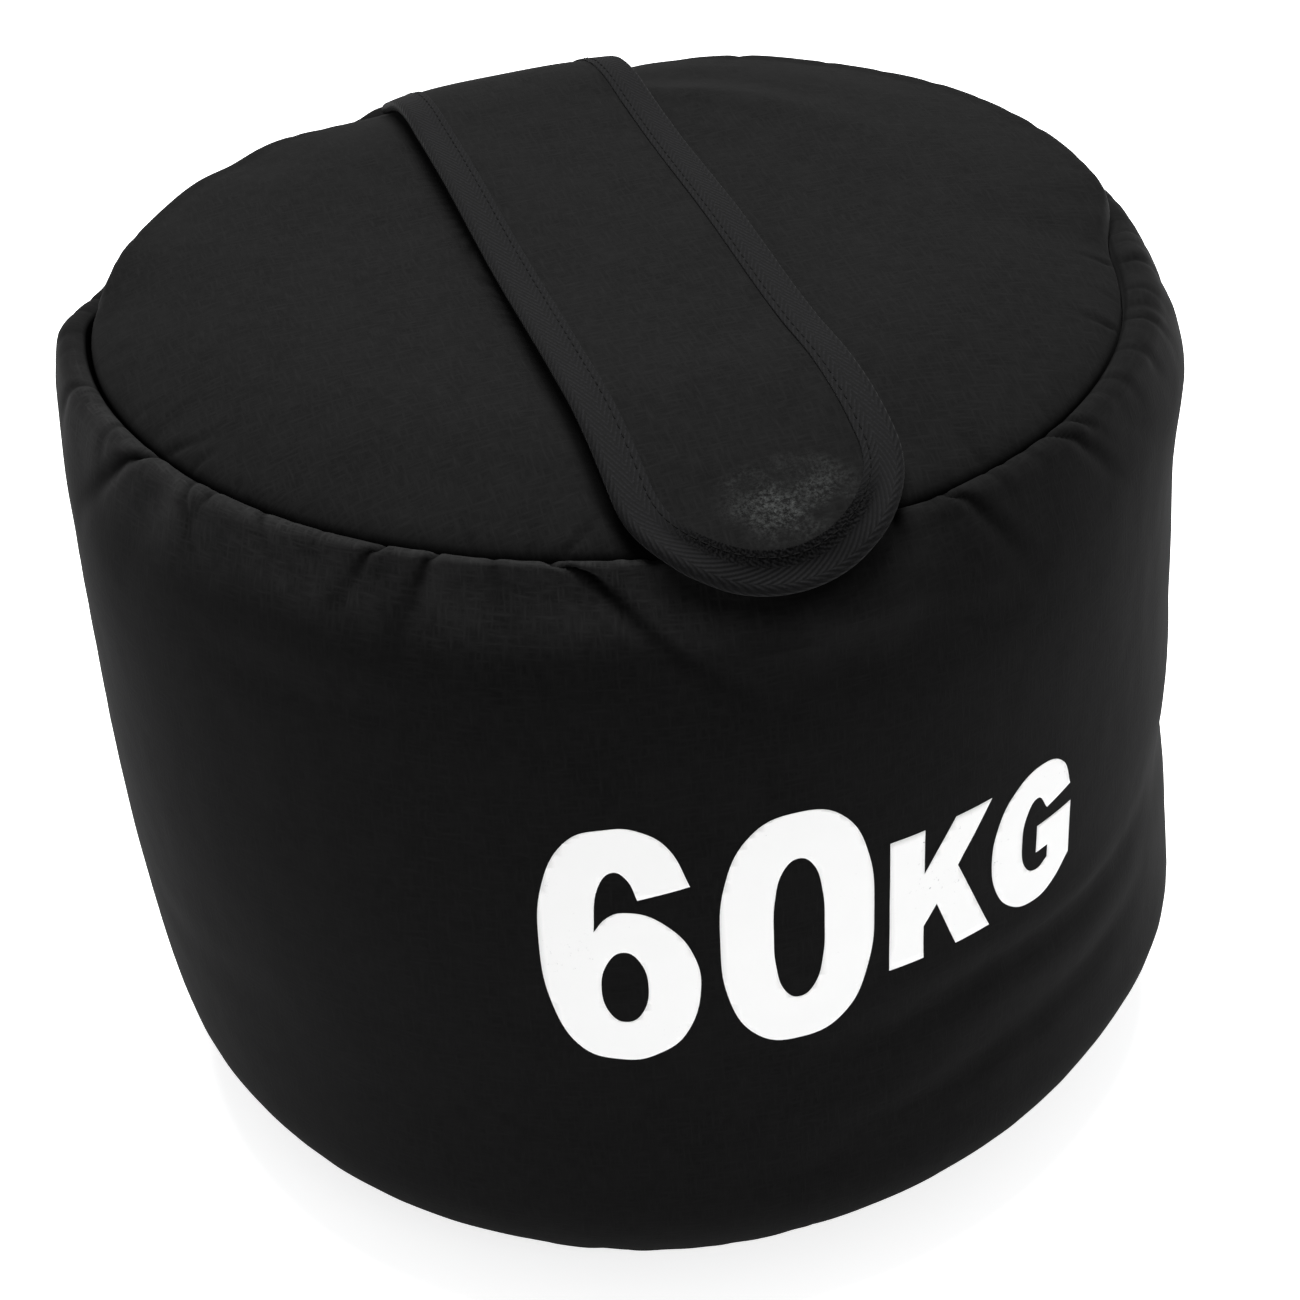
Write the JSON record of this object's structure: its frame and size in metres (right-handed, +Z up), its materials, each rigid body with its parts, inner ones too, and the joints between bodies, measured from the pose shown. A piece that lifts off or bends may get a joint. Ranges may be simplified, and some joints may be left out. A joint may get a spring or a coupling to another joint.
{
  "type": "sandbag trainer",
  "caption": "Round canvas sandbag for lifting and carrying, filled with sand, with a zip in its top under a closing flap and a tied liner inside.",
  "frame": {"origin": "middle of the bag's base, on the floor", "axes": "+Z up; -Y to the front, where the flap's round tip and the weight mark are; +X to the right, seen from the front"},
  "size_m": [0.398, 0.398, 0.3328],
  "materials": {
    "canvas": "matte black cotton canvas",
    "lining": "matte black lining cloth",
    "seam_tape": "matte black woven tape",
    "flap_tape": "black herringbone twill tape",
    "pull_webbing": "black woven webbing",
    "hook_and_loop": "black hook and loop pile",
    "zip_tape": "black woven zip tape",
    "zip_plastic": "moulded black plastic",
    "slider_metal": "black enamelled zinc casting",
    "ring_steel": "nickel plated steel wire",
    "liner_cloth": "grey woven liner",
    "tie_cord": "off-white polyester cord",
    "sand": "dry quartz sand"
  },
  "bodies": {
    "bag": {"side_panel": "canvas", "base_panel": "canvas", "top_panel_left": "canvas", "top_panel_right": "canvas", "top_seam_binding": "seam_tape", "base_seam_binding": "seam_tape", "side_seam_binding": "seam_tape", "zip_tape_left": "zip_tape", "zip_tape_right": "zip_tape", "zip_teeth_left": "zip_plastic", "zip_teeth_right": "zip_plastic", "zip_top_stop_left": "zip_plastic", "zip_top_stop_right": "zip_plastic", "zip_bottom_stop": "zip_plastic", "loop_patch": "hook_and_loop", "liner_bag": "liner_cloth", "liner_tie": "tie_cord", "sand_fill": "sand"},
    "flap": {"flap_outer": "canvas", "flap_lining": "lining", "flap_binding": "flap_tape", "hook_patch": "hook_and_loop"},
    "slider": {"zip_slider": "slider_metal", "zip_pull_ring": "ring_steel", "zip_pull_tab": "pull_webbing"}
  },
  "joints": [
    {"name": "flap_lift", "type": "hinge", "parent": "bag", "child": "flap", "pos_m": [0, 0.17011, 0.31227], "axis": [-1, 0, 0], "range_deg": [0, 140]},
    {"name": "slider_travel", "type": "slide", "parent": "bag", "child": "slider", "axis": [0, 1, 0], "range_m": [0, 0.1715], "deforming": ["zip_teeth_left", "zip_teeth_right"]}
  ]
}
